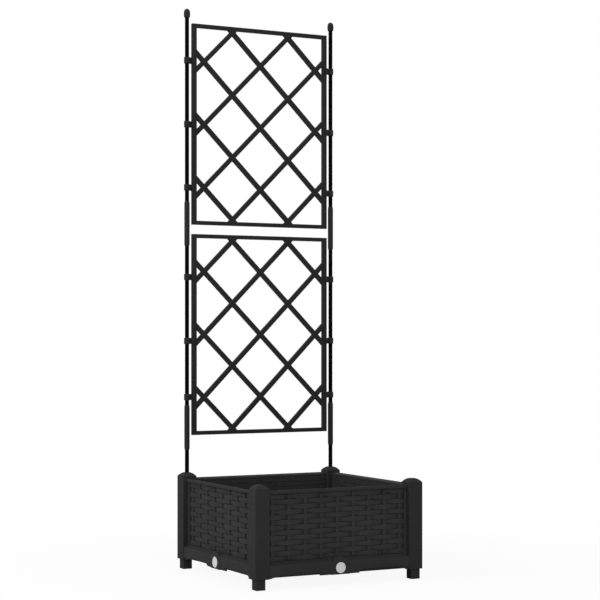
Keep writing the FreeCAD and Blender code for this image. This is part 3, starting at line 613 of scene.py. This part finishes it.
def white_plastic(name, colour, roughness):
    """White plug plastic: smooth, with a slight translucence and fine wipe marks."""
    look = Shader(name, colour, roughness, specular=0.3)
    look.shader.inputs["Subsurface Weight"].default_value = 0.08
    look.shader.inputs["Subsurface Radius"].default_value = (0.0012, 0.0011, 0.001)
    look.tint(cells=160, detail=3, dark=0.96, light=1.02)
    look.gloss(cells=260, detail=2, less=0.06, more=0.08)
    look.relief(cells=900, detail=1, depth=0.00003, strength=0.3)


def inner_wall_plastic_painted_light(name, colour, roughness):
    """The panels' inner side: even, with a fine grain, in the weave's lighter colour and a little
    glossier; the lighter colour is painted light for the shaded inside of the planter.
    """
    look = Shader(name, colour, roughness, specular=0.12)
    look.tint(cells=CLOUDS, detail=4, dark=0.9, light=1.12)
    look.relief(cells=GRAIN, detail=2, depth=0.00005, strength=0.5)


def rubber(name, colour, roughness):
    """Seal rubber: matt and slightly dusty."""
    look = Shader(name, colour, roughness, specular=0.3)
    look.tint(cells=240, detail=3, dark=0.8, light=1.3)
    look.relief(cells=1200, detail=2, depth=0.00005, strength=0.5)


class PLANTER_OT_finishes(bpy.types.Operator):
    """Make the materials and finish the frame nodes that stay in view"""

    bl_idname = "planter.finishes"
    bl_label = "Finishes"

    def execute(self, context):
        look = context.scene.planter_finishes
        # The weave takes the lighter weave colour: painted light against the shade between the
        # strands.
        woven_plastic_painted_light("woven_finish", look.weave, look.box_gloss)
        # The panels' inner faces take the weave's lighter colour: painted light for the shaded
        # inside of the planter.
        inner_wall_plastic_painted_light("inner_wall_finish", look.weave, look.box_gloss)
        moulded_plastic("box_plastic_finish", look.box, look.box_gloss)
        moulded_plastic("panel_plastic_finish", look.panel, look.box_gloss)
        moulded_plastic("inner_plastic_finish", look.inner, look.box_gloss, grain=900)
        moulded_plastic("trellis_plastic_finish", look.trellis, look.trellis_gloss, grain=1800)
        coated_steel("pole_coating_finish", look.pole, look.pole_gloss)
        white_plastic("plug_plastic_finish", look.plug, look.plug_gloss)
        rubber("seal_rubber_finish", look.seal, look.seal_gloss)
        slots = {row["node"]: row["material_slot"] for row in frame["record"]["subparts"]}
        for name, node in frame["nodes"].items():
            node.data.materials.clear()
            node.data.materials.append(bpy.data.materials[f"{slots[name]}_finish"])
        return {"FINISHED"}


def weave_base(panel):
    """Height of the woven field's lower edge."""
    return BASE + panel.rail_height + panel.ledge_rise


def wall_middle(panel):
    """The middle of the plain wall, where the pieces in front of it end."""
    return FACE + panel.wall_setback + panel.wall / 2


def panel_section(size):
    """The closed section of a side panel's board, as (Y, Z) points."""
    front = FACE + size.rail_setback
    wall_front = FACE + size.wall_setback
    wall_back = wall_front + size.wall
    top = PANEL_TOP - size.rim_drop
    rim_low = top - size.rim_band
    rail_top = BASE + size.rail_height
    ledge_top = weave_base(size)
    under = BASE + size.arch_rise
    rim_front = FACE + size.rim_setback
    curl = (size.rail_curl ** 2 + size.rail_tuck ** 2) / (size.rail_tuck * 2)
    curl_centre = (front + curl, BASE + size.rail_curl)
    sweep = math.degrees(math.asin(size.rail_curl / curl))
    path = [(wall_back + size.lip_reach, under),
            (wall_back + size.lip_reach, under + size.lip_thickness),
            (wall_back, under + size.lip_thickness), (wall_back, top - size.rim_fall)]
    path += arc((rim_front + size.rim_round, top - size.rim_round), size.rim_round, 90, 180,
                ROUND_STEPS)
    path += [(rim_front, rim_low + size.rim_slope), (rim_front + size.rim_slope * 2, rim_low),
             (wall_front, rim_low), (wall_front, ledge_top), (FACE + size.ledge_end, ledge_top)]
    path += arc((front + size.rail_round, rail_top - size.rail_round), size.rail_round, 90, 180,
                ROUND_STEPS)
    path += arc(curl_centre, curl, 180, 180 + sweep, CURVE_STEPS)
    path += [(y + size.skin, z)
             for y, z in arc(curl_centre, curl, 180 + sweep, 180, CURVE_STEPS)]
    path += [(front + size.skin, rail_top - size.rail_round),
             (wall_front, ledge_top - size.skin), (wall_front, BASE), (wall_back, BASE),
             (wall_back, under)]
    return path


def lower_edge_lift(size, x):
    """How far the foot rail's lower edge is lifted at a place along the panel."""
    ends = size.half - size.arch_margin
    run = min(max((ends - abs(x)) / size.arch_run, 0), 1)
    lift = size.arch_rise * (1 - (1 - run) ** 2)
    apron = (size.apron_half + size.apron_slope - abs(x)) / size.apron_slope
    return lift * (1 - min(max(apron, 0), 1))


def make_board(size):
    """The panel's board: rim, plain wall, ledge and hollow foot rail with its arched edge."""
    board = swept("board", panel_section(size), -size.half, size.half)
    ends = size.half - size.arch_margin
    spots = [ends - size.arch_run * k / CURVE_STEPS for k in range(CURVE_STEPS + 1)]
    spots += [size.apron_half + size.apron_slope, size.apron_half]
    spots = sorted(spots + [-spot for spot in spots])
    cut_across(board, 0, spots)
    inside = FACE + size.wall_setback - NEAR
    for x in spots + [-size.half, size.half]:
        lift = lower_edge_lift(size, x)
        if lift > NEAR:
            rows = sorted({round(v.co.z, 6) for v in bmesh.from_edit_mesh(board.data).verts
                           if v.co.z < BASE + size.rail_curl - NEAR and v.co.y < inside})
            for z in rows:
                pick(board, "VERT", lambda v: abs(v.co.x - x) < NEAR and abs(v.co.z - z) < NEAR
                     and v.co.y < inside)
                move((0, 0, lift * (1 - (z - BASE) / size.rail_curl)))
    idle()
    return board


def rib_places(weave):
    """Where the ribs stand along a panel."""
    return [weave.rib_pitch * (k - weave.ribs // 2) for k in range(weave.ribs)]


def open_and_smooth(piece, back):
    """Delete a woven piece's hidden back and smooth the rest."""
    pick(piece, "FACE", lambda face: all_at(face, 1, back))
    bpy.ops.mesh.delete(type="FACE")
    return finish_with(piece, "SUBSURF", levels=2, render_levels=2)


def make_strand(weave, panel, over_even):
    """One level strand, rounded, that weaves over one rib and behind the next."""
    low = weave_base(panel) + (weave.strand_pitch - weave.strand_height) / 2
    mean = FACE + (weave.strand_over + weave.strand_under) / 2
    back = wall_middle(panel)
    high = low + weave.strand_height
    strand = block("strand", (-panel.half, mean, low), (panel.half, back, high))
    pick(strand, "EDGE", lambda edge: all_at(edge, 1, mean) and edge.calc_length() > panel.half)
    round_picked(weave.strand_round, segments=2)
    flat = weave.strand_flat / 2
    centres = rib_places(weave)
    cut_across(strand, 0, [c + way * flat for c in centres for way in (-1, 1)])
    cut_across(strand, 0, [c + weave.rib_pitch / 2 for c in centres[:-1]])
    cut_across(strand, 2, [low + weave.strand_height / 2])
    wave = (weave.strand_under - weave.strand_over) / 2
    for k, centre in enumerate(centres):
        over = ((k - weave.ribs // 2) % 2 == 0) == over_even
        pick(strand, "VERT", lambda v: abs(abs(v.co.x - centre) - flat) < NEAR
             and v.co.y < back - NEAR)
        move((0, -wave if over else wave, 0))
    return open_and_smooth(strand, back)


def make_rib(weave, panel, over_even):
    """One upright rib that swells where strands pass behind it."""
    low = weave_base(panel)
    high = low + weave.strand_pitch * weave.strands
    mean = FACE + (weave.rib_front + weave.rib_back) / 2
    back = wall_middle(panel)
    half = weave.rib_width / 2
    rib = block("rib", (-half, mean, low), (half, back, high))
    pick(rib, "EDGE", lambda edge: all_at(edge, 1, mean)
         and edge.calc_length() > weave.rib_width * 2)
    round_picked(half / 2, segments=2)
    centres = [low + weave.strand_pitch * (k + 0.5) for k in range(weave.strands)]
    cut_across(rib, 2, centres)
    wave = (weave.rib_back - weave.rib_front) / 2
    for k, centre in enumerate(centres):
        under_strand = (k % 2 == 0) == over_even
        pick(rib, "VERT", lambda v: abs(v.co.z - centre) < NEAR and v.co.y < back - NEAR)
        move((0, wave if under_strand else -wave, 0))
    return open_and_smooth(rib, back)


def make_weave(weave, panel):
    """All the ribs and strands of a panel."""
    pieces = []
    for over_even in (True, False):
        strand = make_strand(weave, panel, over_even)
        count = (weave.strands + (1 if over_even else 0)) // 2
        repeated(strand, count, (0, 0, weave.strand_pitch * 2))
        if not over_even:
            strand.location.z = weave.strand_pitch
            settle()
        pieces.append(strand)
        rib = make_rib(weave, panel, over_even)
        count = weave.ribs // 2 + (1 if over_even else 0)
        repeated(rib, count, (weave.rib_pitch * 2, 0, 0))
        rib.location.x = -weave.rib_pitch * (count - 1)
        settle()
        pieces.append(rib)
    return pieces


def arch_block(name, radius, front, back, low):
    """A round-topped block along Y, as deep as from front to back."""
    piece = disc(name, radius, front, back, (0, DRAIN_AXIS), sides=72)
    pick(piece, "FACE", lambda face: True)
    bpy.ops.mesh.bisect(plane_co=(0, 0, DRAIN_AXIS), plane_no=(0, 0, 1), clear_inner=True,
                        use_fill=True)
    pick(piece, "FACE", lambda face: all_at(face, 2, DRAIN_AXIS))
    grow((0, 0, low - DRAIN_AXIS))
    tidy(piece)
    return piece


def make_boss(panel):
    """The round-topped boss with the recess for the plug, hollow behind."""
    front = FACE + panel.boss_setback
    floor = FACE + panel.seat_depth + panel.skin
    boss = arch_block("boss", panel.boss_radius, front, wall_middle(panel), BASE)
    carve(boss, arch_block("boss_hollow", panel.boss_radius - panel.skin, floor,
                           FACE + panel.wall_setback, BASE - panel.skin))
    carve(boss, disc("seat", panel.seat_radius, front - panel.skin, FACE + panel.seat_depth,
                     (0, DRAIN_AXIS)))
    tidy(boss)
    return soften(boss, panel.boss_edge, segments=3, angle=40)


def make_tab(panel, way):
    """The tab over the tongue that fills the slot in the post's wall up to the cap."""
    front = FACE + panel.tab_setback
    back = front + panel.tab_thickness
    spots = sorted((panel.half * way, (panel.half + panel.tab_reach) * way))
    low = BASE + panel.rail_height
    return block("tab", (spots[0], front, low), (spots[1], back, PANEL_TOP))


def make_stile(panel, way):
    """The upright strip beside a post."""
    low = BASE + panel.rail_height
    high = PANEL_TOP - panel.rim_drop - panel.rim_band / 2
    inner, outer = panel.half - panel.stile_width, panel.half
    spots = sorted((inner * way, outer * way))
    front = FACE + panel.stile_setback
    back = wall_middle(panel)
    stile = block("stile", (spots[0], front, low), (spots[1], back, high))
    pick(stile, "EDGE", lambda edge: all_at(edge, 0, inner * way) and all_at(edge, 1, front))
    round_picked(panel.stile_round, ROUND_STEPS)
    idle()
    return stile


class PLANTER_OT_side_panels(bpy.types.Operator):
    """Model a woven side panel and copy it to the four sides"""

    bl_idname = "planter.side_panels"
    bl_label = "Side panels"

    def execute(self, context):
        panel = context.scene.planter_panel
        weave = context.scene.planter_weave
        plain = [make_board(panel), make_boss(panel)]
        plain += [make(panel, way) for make in (make_stile, make_tab) for way in (-1, 1)]
        woven = make_weave(weave, panel)
        for pieces, finish in ((plain, "panel_plastic_finish"), (woven, "woven_finish")):
            for piece in pieces:
                piece.data.materials.append(bpy.data.materials[finish])
        self.groove_inside(plain[0], panel, weave)
        first = smooth(joined("woven_panel_front", plain + woven), angle=35)
        for piece, side in all_four(first, "woven_panel", SIDES):
            finished(piece, "box", "box_plastic", f"side_panel_{side}")
        return {"FINISHED"}

    def groove_inside(self, board, panel, weave):
        """Groove the board's inner face where the weave outside changes, and give it the lighter
        inner-wall material, painted light for the shaded inside.
        """
        inside = FACE + panel.wall_setback + panel.wall
        low = weave_base(panel)
        rows = [low + weave.strand_pitch * k for k in range(weave.strands + 1)]
        ribs = rib_places(weave)
        steps = (-weave.groove, 0, weave.groove)
        cut_across(board, 2, [row + step for row in rows for step in steps])
        cut_across(board, 0, [rib + step for rib in ribs for step in steps])

        def in_groove(v):
            if abs(v.co.y - inside) > NEAR or not low - NEAR < v.co.z < rows[-1] + NEAR:
                return False
            if any(abs(v.co.z - row) < NEAR for row in rows):
                return True
            row = int((v.co.z - low) / weave.strand_pitch)
            return any(abs(v.co.x - rib) < NEAR and (k + row) % 2 == 0
                       for k, rib in enumerate(ribs))

        pick(board, "VERT", in_groove)
        move((0, -weave.groove, 0))
        # The inner face gets a lighter copy of the plastic: painted light for the shaded inside of
        # the planter.
        board.data.materials.append(bpy.data.materials["inner_wall_finish"])
        pick(board, "FACE", lambda face: face.normal.y > 0.5 and all(
            -NEAR < inside - v.co.y < weave.groove + NEAR for v in face.verts))
        bpy.context.object.active_material_index = 1
        bpy.ops.object.material_slot_assign()
        idle()


def cap_outline(size):
    """The (half width, height) steps up a cap's sides, on an arc that bulges a little."""
    low = Vector((POST_SIDE / 2, POST_HIGH.z + size.cap_skirt))
    high = Vector((size.cap_flat, CAP_TOP))
    chord = high - low
    sag = math.sqrt(size.cap_round ** 2 - chord.length_squared / 4)
    centre = (low + high) / 2 + Vector((-chord.y, chord.x)).normalized() * sag
    start = math.degrees(math.atan2(low.y - centre.y, low.x - centre.x))
    end = math.degrees(math.atan2(high.y - centre.y, high.x - centre.x))
    return arc(centre, size.cap_round, start, end, size.cap_steps)


class PLANTER_OT_posts_and_caps(bpy.types.Operator):
    """Soften the corner posts, and model a domed cap for each"""

    bl_idname = "planter.posts_and_caps"
    bl_label = "Posts and caps"

    def execute(self, context):
        size = context.scene.planter_fittings
        skirt_top = POST_HIGH.z + size.cap_skirt
        cap = block("cap_front_left", (POST_LOW.x, POST_LOW.y, POST_HIGH.z),
                    (POST_HIGH.x, POST_HIGH.y, skirt_top))
        pick(cap, "EDGE", lambda edge: abs(edge.verts[0].co.z - edge.verts[1].co.z) > NEAR)
        round_picked(size.cap_corner, CURVE_STEPS)
        pick(cap, "FACE", lambda face: all_at(face, 2, skirt_top))
        grow_rings((POST_LOW + POST_HIGH) / 2, cap_outline(size))
        tidy(cap)
        smooth(cap, angle=50)
        for piece, corner in all_four(cap, "cap", CORNERS):
            finished(piece, "box", "box_plastic", f"post_cap_{corner}")
            post = softened(f"corner_post_{corner}", f"post_{corner}", size.edge_post)
            finished(post, "box", "box_plastic", f"corner_post_{corner}")
        return {"FINISHED"}


class PLANTER_OT_feet(bpy.types.Operator):
    """Model the square feet under the posts"""

    bl_idname = "planter.feet"
    bl_label = "Feet"

    def execute(self, context):
        size = context.scene.planter_fittings
        low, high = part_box("foot_front_left")
        foot = block("peg_front_left", low, (high.x, high.y, BASE))
        smooth(soften(foot, size.foot_round, segments=4))
        for piece, corner in all_four(foot, "peg", CORNERS):
            finished(piece, "box", "box_plastic", f"foot_{corner}")
        return {"FINISHED"}


class PLANTER_OT_drain_plugs(bpy.types.Operator):
    """Model the white drain plugs with their dished heads"""

    bl_idname = "planter.drain_plugs"
    bl_label = "Drain plugs"

    def execute(self, context):
        size = context.scene.planter_fittings
        radius = (PLUG_HIGH.x - PLUG_LOW.x) / 2 - size.plug_inset
        front = PLUG_LOW.y
        back = front + size.plug_thickness
        centre = (0, DRAIN_AXIS)
        head = disc("head", radius, front, back, centre, sides=72)
        soften(head, size.plug_edge, segments=4, angle=40)
        pick(head, "FACE", lambda face: all_at(face, 1, front))
        bpy.ops.mesh.inset(thickness=size.plug_border)
        grow((0, size.plug_dish, 0))
        bpy.ops.mesh.inset(thickness=size.plug_dish)
        stem = disc("stem", size.plug_stem, back - size.plug_dish, PLUG_HIGH.y, centre,
                    sides=48)
        soften(stem, size.plug_edge, angle=40)
        plug = smooth(joined("plug_front", [head, stem]), angle=40)
        for piece, side in all_four(plug, "plug", SIDES):
            finished(piece, f"plug_{side}", "plug_plastic", f"drain_plug_{side}")
        return {"FINISHED"}


class PLANTER_OT_trellis(bpy.types.Operator):
    """Model the lattices, sleeves, finials and clips of the trellis"""

    bl_idname = "planter.trellis"
    bl_label = "Trellis"

    def execute(self, context):
        size = context.scene.planter_fittings
        made = {}
        for level in LEVELS:
            made[f"lattice_{level}"] = softened(f"lattice_{level}", f"trellis_{level}",
                                                size.edge_lattice)
        for hand in HANDS:
            for level in LEVELS:
                made[f"sleeve_{level}_{hand}"] = self.make_sleeve(size, level, hand)
            made[f"finial_{hand}"] = self.make_finial(hand)
            for spot in [f"{level}_{place}" for level in LEVELS for place in CLIP_SPOTS]:
                made[f"clip_{spot}_{hand}"] = softened(
                    f"clip_{spot}_{hand}", f"snap_{spot}_{hand}", size.edge_clip, segments=3)
        for node, piece in made.items():
            finished(piece, "trellis", "trellis_plastic", node)
        return {"FINISHED"}

    def make_sleeve(self, size, level, hand):
        """A tapered sleeve over a pole joint."""
        low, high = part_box(f"sleeve_{level}_{hand}")
        pole_low, pole_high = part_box(f"pole_middle_{hand}")
        bore = (pole_high.x - pole_low.x) / 2
        outer = (high.x - low.x) / 2
        tip = bore + size.sleeve_lip
        rings = [(bore, low.z), (tip, low.z)]
        for k in range(1, CURVE_STEPS + 1):
            part = k / CURVE_STEPS
            rings.append((tip + (outer - tip) * math.sin(QUARTER * part),
                          low.z + size.sleeve_taper * part))
        rings += [(r, high.z - (z - low.z)) for r, z in reversed(rings)]
        return smooth(turned(f"socket_{level}_{hand}", (low + high) / 2, rings), angle=40)

    def make_finial(self, hand):
        """A domed end on the pole."""
        low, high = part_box(f"finial_{hand}")
        pole_low, pole_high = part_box(f"pole_upper_{hand}")
        bore = (pole_high.x - pole_low.x) / 2
        radius = (high.x - low.x) / 2
        rise = high.z - low.z
        rings = [(bore, low.z)]
        rings += [(radius * across, low.z + rise * up) for across, up in FINIAL_SHARES]
        rings += [(bore * FINIAL_SHARES[-1][0], low.z + rise / 2), (bore, low.z + rise / 2)]
        return smooth(turned(f"knob_{hand}", (low + high) / 2, rings), angle=50)


class PLANTER_OT_inner_parts(bpy.types.Operator):
    """Soften the floor tray and the soil grid"""

    bl_idname = "planter.inner_parts"
    bl_label = "Tray and soil grid"

    def execute(self, context):
        size = context.scene.planter_fittings
        for node, name, body in (("floor_tray", "water_tray", "box"),
                                 ("soil_grid", "slotted_grid", "soil_grid")):
            finished(softened(node, name, size.edge_inner), body, "inner_plastic", node)
        return {"FINISHED"}


def lamp(name, spot, target, power, width):
    """A soft square lamp at a spot that shines at a target."""
    idle()
    bpy.ops.object.light_add(type="AREA", location=spot)
    made = bpy.context.object
    made.name = name
    made.data.energy = power
    made.data.size = width
    direction = Vector(target) - Vector(spot)
    made.rotation_euler = direction.to_track_quat("-Z", "Y").to_euler()


def white_world(stage):
    """White to the camera and in reflections, an even fill everywhere else."""
    world = bpy.data.worlds.new("studio")
    bpy.context.scene.world = world
    look = NodeTree(world)
    look.tree.nodes.clear()
    path = look.node("ShaderNodeLightPath")
    seen = path.outputs["Is Camera Ray"]
    for ray in ("Is Glossy Ray", "Is Transmission Ray"):
        either = look.maths("ShaderNodeMath", "MAXIMUM")
        look.link(seen, either.inputs[0])
        look.link(path.outputs[ray], either.inputs[1])
        seen = either.outputs[0]
    fill = look.node("ShaderNodeBackground", color=(1, 1, 1, 1), strength=stage.sky)
    white = look.node("ShaderNodeBackground", color=(1, 1, 1, 1), strength=1)
    look.blend(seen, fill, white, "ShaderNodeOutputWorld")


def floor_material(stage):
    """Pale floor that holds the shadow close by and turns into plain white further off."""
    material = bpy.data.materials.new("pale_floor")
    look = NodeTree(material)
    look.tree.nodes.clear()
    distance = look.maths("ShaderNodeVectorMath", "LENGTH")
    look.link(look.node("ShaderNodeTexCoord").outputs["Object"], distance.inputs[0])
    fade = look.node("ShaderNodeMapRange", from_min=stage.floor_fade,
                     from_max=stage.floor_white, to_min=stage.whiteness)
    fade.interpolation_type = "SMOOTHSTEP"
    look.link(distance.outputs["Value"], fade.inputs["Value"])
    seen = look.maths("ShaderNodeMath", "MULTIPLY")
    look.link(fade.outputs["Result"], seen.inputs[0])
    look.link(look.node("ShaderNodeLightPath").outputs["Is Camera Ray"], seen.inputs[1])
    look.blend(seen.outputs[0], look.node("ShaderNodeBsdfDiffuse", color=(*stage.floor, 1)),
               look.node("ShaderNodeEmission"), "ShaderNodeOutputMaterial")
    return material


class PLANTER_OT_stage(bpy.types.Operator):
    """Set up the floor, the soft studio light and the camera"""

    bl_idname = "planter.stage"
    bl_label = "Stage"

    def execute(self, context):
        stage = context.scene.planter_stage
        context.scene.view_settings.view_transform = "Standard"
        white_world(stage)
        idle()
        bpy.ops.mesh.primitive_plane_add(size=stage.floor_side, location=(0, 0, 0))
        floor = settle("floor")
        floor.data.materials.append(floor_material(stage))
        floor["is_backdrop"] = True
        for name, spot, target, power, width in LAMPS:
            lamp(name, spot, target, getattr(stage, power), width)
        along = Vector((math.sin(-stage.bearing), math.cos(-stage.bearing), 0))
        across = Vector((along.y, -along.x, 0))
        bpy.ops.object.camera_add()
        camera = bpy.context.object
        camera.name = "photo_camera"
        camera.location = across * stage.sideways - along * stage.distance
        camera.location.z = stage.height
        camera.rotation_euler = (QUARTER, 0, stage.bearing)
        camera.data.lens = stage.focal_pixels / stage.picture * camera.data.sensor_width
        camera.data.shift_y = (stage.horizon_row - stage.picture / 2) / stage.picture
        context.scene.camera = camera
        return {"FINISHED"}


class PLANTER_PT_sidebar(bpy.types.Panel):
    """The steps of the model, one button each"""

    bl_label = "Planter"
    bl_idname = "PLANTER_PT_sidebar"
    bl_space_type = "VIEW_3D"
    bl_region_type = "UI"
    bl_category = "Planter"

    def draw(self, context):
        for step in STEPS:
            self.layout.operator(step.bl_idname)
        for group in GROUPS:
            settings = getattr(context.scene, group)
            for key in settings.bl_rna.properties.keys():
                if key not in ("rna_type", "name"):
                    self.layout.prop(settings, key)


GROUPS = {
    "planter_panel": PanelSizes,
    "planter_weave": WeaveSizes,
    "planter_fittings": FittingSizes,
    "planter_finishes": PlanterFinishes,
    "planter_stage": StageSettings,
}
STEPS = (
    PLANTER_OT_finishes,
    PLANTER_OT_side_panels,
    PLANTER_OT_posts_and_caps,
    PLANTER_OT_feet,
    PLANTER_OT_drain_plugs,
    PLANTER_OT_trellis,
    PLANTER_OT_inner_parts,
    PLANTER_OT_stage,
)


def register():
    """Make the settings, steps and sidebar known."""
    for kind in (*GROUPS.values(), *STEPS, PLANTER_PT_sidebar):
        bpy.utils.register_class(kind)
    for name, kind in GROUPS.items():
        setattr(bpy.types.Scene, name, PointerProperty(type=kind))


def unregister():
    """Take them away again."""
    for name in GROUPS:
        delattr(bpy.types.Scene, name)
    for kind in (PLANTER_PT_sidebar, *reversed(STEPS), *reversed(GROUPS.values())):
        bpy.utils.unregister_class(kind)


def main():
    """Run every step and measure the size of the frame and of the finished model."""
    frame_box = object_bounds()
    register()
    for step in STEPS:
        family, action = step.bl_idname.split(".")
        getattr(getattr(bpy.ops, family), action)()
    idle()
    boxes = {"cad": frame_box, "visual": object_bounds()}
    {name: [list(corner) for corner in box] for name, box in boxes.items()}


if __name__ == "__main__":
    main()
